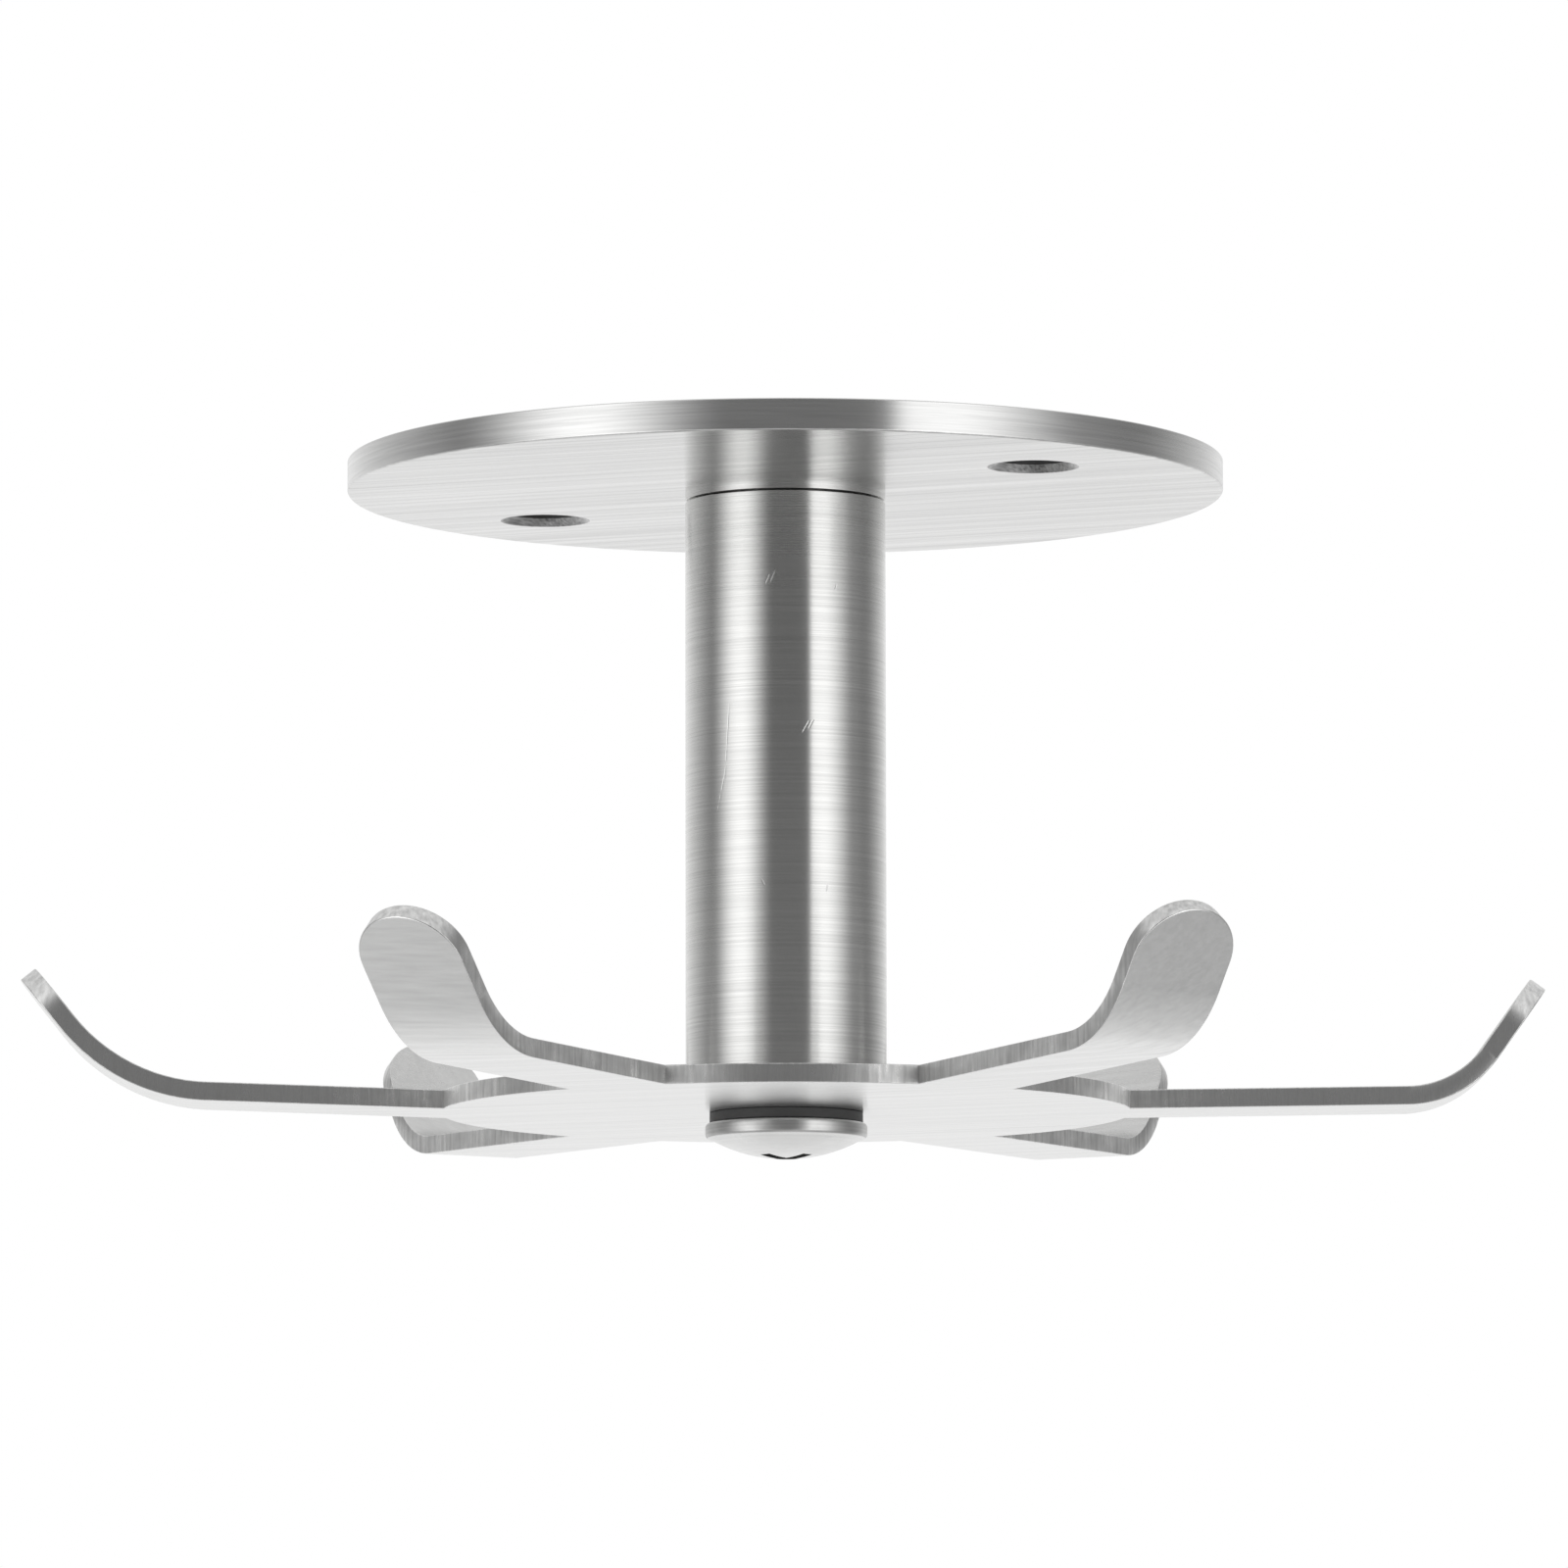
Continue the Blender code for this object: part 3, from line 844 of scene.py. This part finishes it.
def add_arm(bm, arm, middle):
    """One arm as rows of quads with a half-round tip. Returns the row where it leaves the hub."""
    half = ARM_WIDTH / 2
    bend_length = (arm.bend_radius + SHEET / 2) * math.radians(arm.tip_slope - arm.rise)
    straight = arm.bend_start - ARM_ROOT
    stations = [ARM_ROOT + straight * i / STRAIGHT_ROWS for i in range(STRAIGHT_ROWS)]
    stations += [arm.bend_start + bend_length * i / BEND_ROWS for i in range(BEND_ROWS + 1)]
    tip_centre = ARM_REACH - half
    stations.append(tip_centre)
    columns = [half * (2 * i / ARM_COLUMNS - 1) for i in range(ARM_COLUMNS + 1)]
    rows = [[arm_vertex(bm, arm, along, across, middle) for across in columns] for along in stations]
    for near, far in zip(rows, rows[1:]):
        for i in range(ARM_COLUMNS):
            bm.faces.new((near[i], far[i], far[i + 1], near[i + 1]))
    tip = []
    for i in range(1, TIP_STEPS):
        angle = math.pi * (i / TIP_STEPS - 0.5)
        along = tip_centre + half * math.cos(angle)
        tip.append(arm_vertex(bm, arm, along, half * math.sin(angle), middle))
    bm.faces.new(rows[-1][:1] + tip + rows[-1][::-1][:-1])
    return rows[0]


def build_rotor():
    """The hub and arms as one middle surface, thickened to a sheet."""
    low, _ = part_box("hook_rotor")
    middle = low.z / MM + SHEET / 2
    half_root = math.asin(ARM_WIDTH / 2 / HUB_RADIUS)
    span = 2 * math.pi / len(ARMS) - 2 * half_root
    bm = bmesh.new()
    outline = []
    for arm in ARMS:
        outline += add_arm(bm, arm, middle)
        start = math.radians(arm.direction + ROTOR_TURN) + half_root
        for i in range(1, HUB_ARC_STEPS + 1):
            angle = start + span * i / (HUB_ARC_STEPS + 1)
            x, y = HUB_RADIUS * math.cos(angle), HUB_RADIUS * math.sin(angle)
            outline.append(bm.verts.new((x * MM, y * MM, middle * MM)))
    bore = ring(bm, ROTOR_BORE_RADIUS, middle, HOLE_STEPS)
    fill_between(bm, [outline, bore], 1.0)
    materials = [rotor_steel, cut_edge, shaded_rotor_top_steel]
    rotor = make_piece("rotor_sheet", bm, materials, ROTOR, "hook_rotor")
    solidify = rotor.modifiers.new("sheet", "SOLIDIFY")
    solidify.thickness = SHEET * MM
    solidify.offset = 0.0
    solidify.use_even_offset = True
    solidify.material_offset_rim = SHEET_CUT
    bake_modifiers(rotor)
    round_sheet_edges(rotor)
    weigh_normals(rotor)


def round_sheet_edges(rotor):
    """Rounds the edges along the cut, leaves the upright corners sharp, and tells the top from the
    underside."""
    bm = bmesh.new()
    bm.from_mesh(rotor.data)
    borders = []
    for edge in bm.edges:
        if {face.material_index for face in edge.link_faces} == {SHEET_UNDERSIDE, SHEET_CUT}:
            borders.append(edge)
    bmesh.ops.bevel(
        bm,
        geom=borders,
        offset=SHEET_EDGE * MM,
        offset_type="OFFSET",
        segments=BEVEL_STEPS,
        profile=0.5,
        affect="EDGES",
        clamp_overlap=True,
        material=-1,
    )
    for face in bm.faces:
        # Top faces take the darker steel, painted shade
        if face.material_index == SHEET_UNDERSIDE and face.normal.z > LOOKS_UP:
            face.material_index = SHEET_TOP
    bm.to_mesh(rotor.data)
    bm.free()
    rotor.data.shade_smooth()


# Pivot screw


def cross_recess_cutter(apex):
    """A tapered cross, wide below the dome's lowest point and narrow inside the head."""
    bm = bmesh.new()
    ends = ((RECESS_MOUTH, apex - RECESS_MOUTH_DROP), (RECESS_BOTTOM, apex + RECESS_DEPTH))
    for angle in RECESS_TURNS:
        turn = math.radians(angle)
        corners = []
        for (length, width), height in ends:
            for x_side, y_side in ((1, 1), (-1, 1), (-1, -1), (1, -1)):
                x, y = x_side * length / 2, y_side * width / 2
                turned_x = x * math.cos(turn) - y * math.sin(turn)
                turned_y = x * math.sin(turn) + y * math.cos(turn)
                corners.append(bm.verts.new((turned_x * MM, turned_y * MM, height * MM)))
        bm.faces.new(corners[:4])
        bm.faces.new(corners[:3:-1])
        for i in range(4):
            j = (i + 1) % 4
            bm.faces.new((corners[i], corners[i + 4], corners[j + 4], corners[j]))
    bmesh.ops.recalc_face_normals(bm, faces=bm.faces)
    mesh = bpy.data.meshes.new("cross_recess_cutter")
    bm.to_mesh(mesh)
    bm.free()
    # The recess takes near-black steel as painted shade
    mesh.materials.append(painted_shade_steel)
    return bpy.data.objects.new("cross_recess_cutter", mesh)


def cut_cross_recess(screw, apex):
    """Cuts the recess into the screw's mesh, with a near-black material that paints shade into it."""
    cutter = cross_recess_cutter(apex)
    bpy.context.scene.collection.objects.link(cutter)
    boolean = screw.modifiers.new("cross_recess", "BOOLEAN")
    boolean.operation = "DIFFERENCE"
    boolean.solver = "EXACT"
    boolean.use_self = True
    boolean.object = cutter
    boolean.material_mode = "TRANSFER"
    bake_modifiers(screw)
    join_close_points(screw)
    bpy.data.objects.remove(cutter, do_unlink=True)


def dome_points(base, dome_edge, apex):
    """The dome's arc down to its lowest point. The slope that leads up to it takes its first two steps."""
    dome_height = dome_edge - apex
    sphere = (base**2 + dome_height**2) / (2 * dome_height)
    sweep = math.asin(base / sphere)
    points = []
    for i in range(2, DOME_STEPS):
        angle = sweep * (1 - i / DOME_STEPS)
        drop = sphere * (math.cos(angle) - math.cos(sweep))
        points.append((sphere * math.sin(angle), dome_edge - drop))
    points.append((0.0, apex))
    return points


def build_pivot_screw():
    """A screw with a domed head and a cross recess, seen from below."""
    radius, shank_top, apex = node_box("pivot_screw")
    _, _, washer_bottom = node_box("lower_washer")
    head_top = washer_bottom - CAD_GAP
    dome_edge = head_top - HEAD_RIM
    base = radius - DOME_INSET
    lead_width, lead_height = DOME_LEAD
    outside = [
        (0.0, shank_top, 0.0),
        (SCREW_SHANK_RADIUS, shank_top, SHANK_TIP_EDGE),
        (SCREW_SHANK_RADIUS, head_top, SHANK_FILLET),
        (radius, head_top, HEAD_EDGE),
        (radius, dome_edge, HEAD_EDGE),
        (base - lead_width, dome_edge - lead_height, 0.0),
    ]
    bm = bmesh.new()
    lathe(bm, rounded(outside) + dome_points(base, dome_edge, apex), SCREW_STEPS)
    for face in bm.faces:
        middle = face.calc_center_median() / MM
        if dome_edge < middle.z < head_top and middle.xy.length > radius - HEAD_EDGE / 2:
            face.material_index = HEAD_SIDE
    materials = [screw_steel, head_rim_steel]
    screw = make_piece("screw", bm, materials, POST, "pivot_screw")
    cut_cross_recess(screw, apex)
    keep_sharp(screw, PIVOT_SCREW_SHARP_ANGLE)


def dress_hidden_nodes():
    """Pieces sealed inside the post keep their CAD shape and take a machined finish."""
    for name in ("bottom_plug", "pivot_bush"):
        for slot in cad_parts[name].material_slots:
            slot.material = machined_steel


# Studio, in metres


FLOOR_RADIUS = 0.35
FLOOR_FADE_START = 0.25
FLOOR_HEIGHT = -0.33
FLOOR_STEPS = 96
FLOOR_COLOUR = (0.44, 0.44, 0.44, 1.0)
FLOOR_ROUGHNESS = 0.8
FLOOR_GLOSS = 0.1

# Upright bands of light round the studio, in degrees from the front to the right: where a band starts to
# rise, is full, starts to fade and has gone, and how bright it is
Band = namedtuple("Band", "start full fade gone level")
STUDIO_BANDS = (
    Band(-97.0, -55.0, -52.0, -15.0, 1.36),
    Band(26.0, 32.0, 45.0, 86.0, 1.36),
    Band(54.0, 80.0, 84.0, 114.0, 0.15),
    Band(94.0, 166.0, 198.0, 284.0, 0.74),
)
STUDIO_BASE = 0.18
BACK_TURN = 180.0
# Where the ceiling's light starts and is full, as the sine of the height above the horizon
CEILING_START = 0.45
CEILING_FULL = 0.75
CEILING_LEVEL = 0.9
WHITE = (1.0, 1.0, 1.0, 1.0)

SOFTBOX_SIZE = 0.15
SOFTBOX_POWER = 2.6
SOFTBOX_PLACE = (-0.05, 0.3, 0.12)

SENSOR_WIDTH_MM = 36.0
LENS_MM = 260.85
CLIP_END = 60.0
CAMERA_PLACE = (-0.00014, -0.9, -0.131677)
CAMERA_TURN = (96.7072, 0.097, 0.0114)


def floor_material():
    """Plain pale grey that fades out towards the disc's edge."""
    surface = Surface("pale_floor")
    surface.look({"Base Color": FLOOR_COLOUR, "Roughness": FLOOR_ROUGHNESS})
    surface.look({"Specular IOR Level": FLOOR_GLOSS})
    faded = surface.smooth(surface.length(surface.place), FLOOR_FADE_START, FLOOR_RADIUS)
    clear = surface.add("ShaderNodeBsdfTransparent").outputs[0]
    output = surface.tree.nodes["Material Output"]
    mixed = surface.mixed_shader(faded, surface.shader.outputs[0], clear)
    surface.give(output.inputs["Surface"], mixed)
    return surface.material


def build_floor():
    """A pale disc far below the rack."""
    mesh = bpy.data.meshes.new("floor")
    bm = bmesh.new()
    bmesh.ops.create_circle(bm, cap_ends=True, segments=FLOOR_STEPS, radius=FLOOR_RADIUS)
    bm.to_mesh(mesh)
    bm.free()
    mesh.materials.append(floor_material())
    floor = bpy.data.objects.new("floor", mesh)
    floor.location.z = FLOOR_HEIGHT
    bpy.context.scene.collection.objects.link(floor)


def studio_walls(nodes, direction):
    """Brightness of the walls in a direction: the bands on a dim base."""
    turn = nodes.math("MULTIPLY", nodes.turn_from_front(direction), math.degrees(1.0))
    walls = STUDIO_BASE
    for band in STUDIO_BANDS:
        measured = turn
        if band.gone > BACK_TURN:
            measured = nodes.math("FLOORED_MODULO", turn, 2 * BACK_TURN)
        rise = nodes.smooth(measured, band.start, band.full)
        fall = nodes.smooth(measured, band.gone, band.fade)
        lit = nodes.math("MULTIPLY", nodes.math("MULTIPLY", rise, fall), band.level)
        walls = nodes.math("ADD", walls, lit)
    return walls


def build_world():
    """A studio with two tall softboxes beside a dim front, a softer white back and a white ceiling. The
    camera itself sees plain white behind the rack."""
    world = bpy.data.worlds.new("studio")
    bpy.context.scene.world = world
    nodes = Nodes(world)
    background = nodes.tree.nodes["Background"]
    output = nodes.tree.nodes["World Output"]
    direction = nodes.add("ShaderNodeTexCoord").outputs["Generated"]
    overhead = nodes.smooth(nodes.axes(direction)["Z"], CEILING_START, CEILING_FULL)
    level = nodes.mixed(overhead, studio_walls(nodes, direction), CEILING_LEVEL)
    nodes.give(background.inputs["Color"], level)
    backdrop = nodes.add("ShaderNodeBackground", {"Color": WHITE, "Strength": 1.0})
    seen = nodes.add("ShaderNodeLightPath").outputs["Is Camera Ray"]
    mixed = nodes.mixed_shader(seen, background.outputs[0], backdrop.outputs[0])
    nodes.give(output.inputs["Surface"], mixed)


def build_softbox():
    """A soft light behind and above the rack that shows in no reflection."""
    light = bpy.data.lights.new("back_softbox", "AREA")
    light.shape = "SQUARE"
    light.size = SOFTBOX_SIZE
    light.energy = SOFTBOX_POWER
    softbox = bpy.data.objects.new("back_softbox", light)
    softbox.location = SOFTBOX_PLACE
    softbox.visible_glossy = False
    softbox.visible_camera = False
    bpy.context.scene.collection.objects.link(softbox)


def build_camera():
    """A long lens a little below the rack, looking up at it."""
    camera_data = bpy.data.cameras.new("camera")
    camera_data.sensor_width = SENSOR_WIDTH_MM
    camera_data.lens = LENS_MM
    camera_data.clip_end = CLIP_END
    camera = bpy.data.objects.new("camera", camera_data)
    camera.location = CAMERA_PLACE
    camera.rotation_euler = [math.radians(angle) for angle in CAMERA_TURN]
    bpy.context.scene.collection.objects.link(camera)
    bpy.context.scene.camera = camera


build_mounting_plate()
build_plate_screw()
build_post()
build_washer("upper_slide_washer", "thrust_washer", white_nylon, UPPER_WASHER_GROWTH)
# Its near-black nylon is painted shade of the gap under the rotor
build_washer("lower_slide_washer", "lower_washer", dark_nylon, LOWER_WASHER_GROWTH)
build_rotor()
build_pivot_screw()
dress_hidden_nodes()
build_floor()
build_world()
build_softbox()
build_camera()
bpy.context.scene.view_settings.view_transform = "Standard"
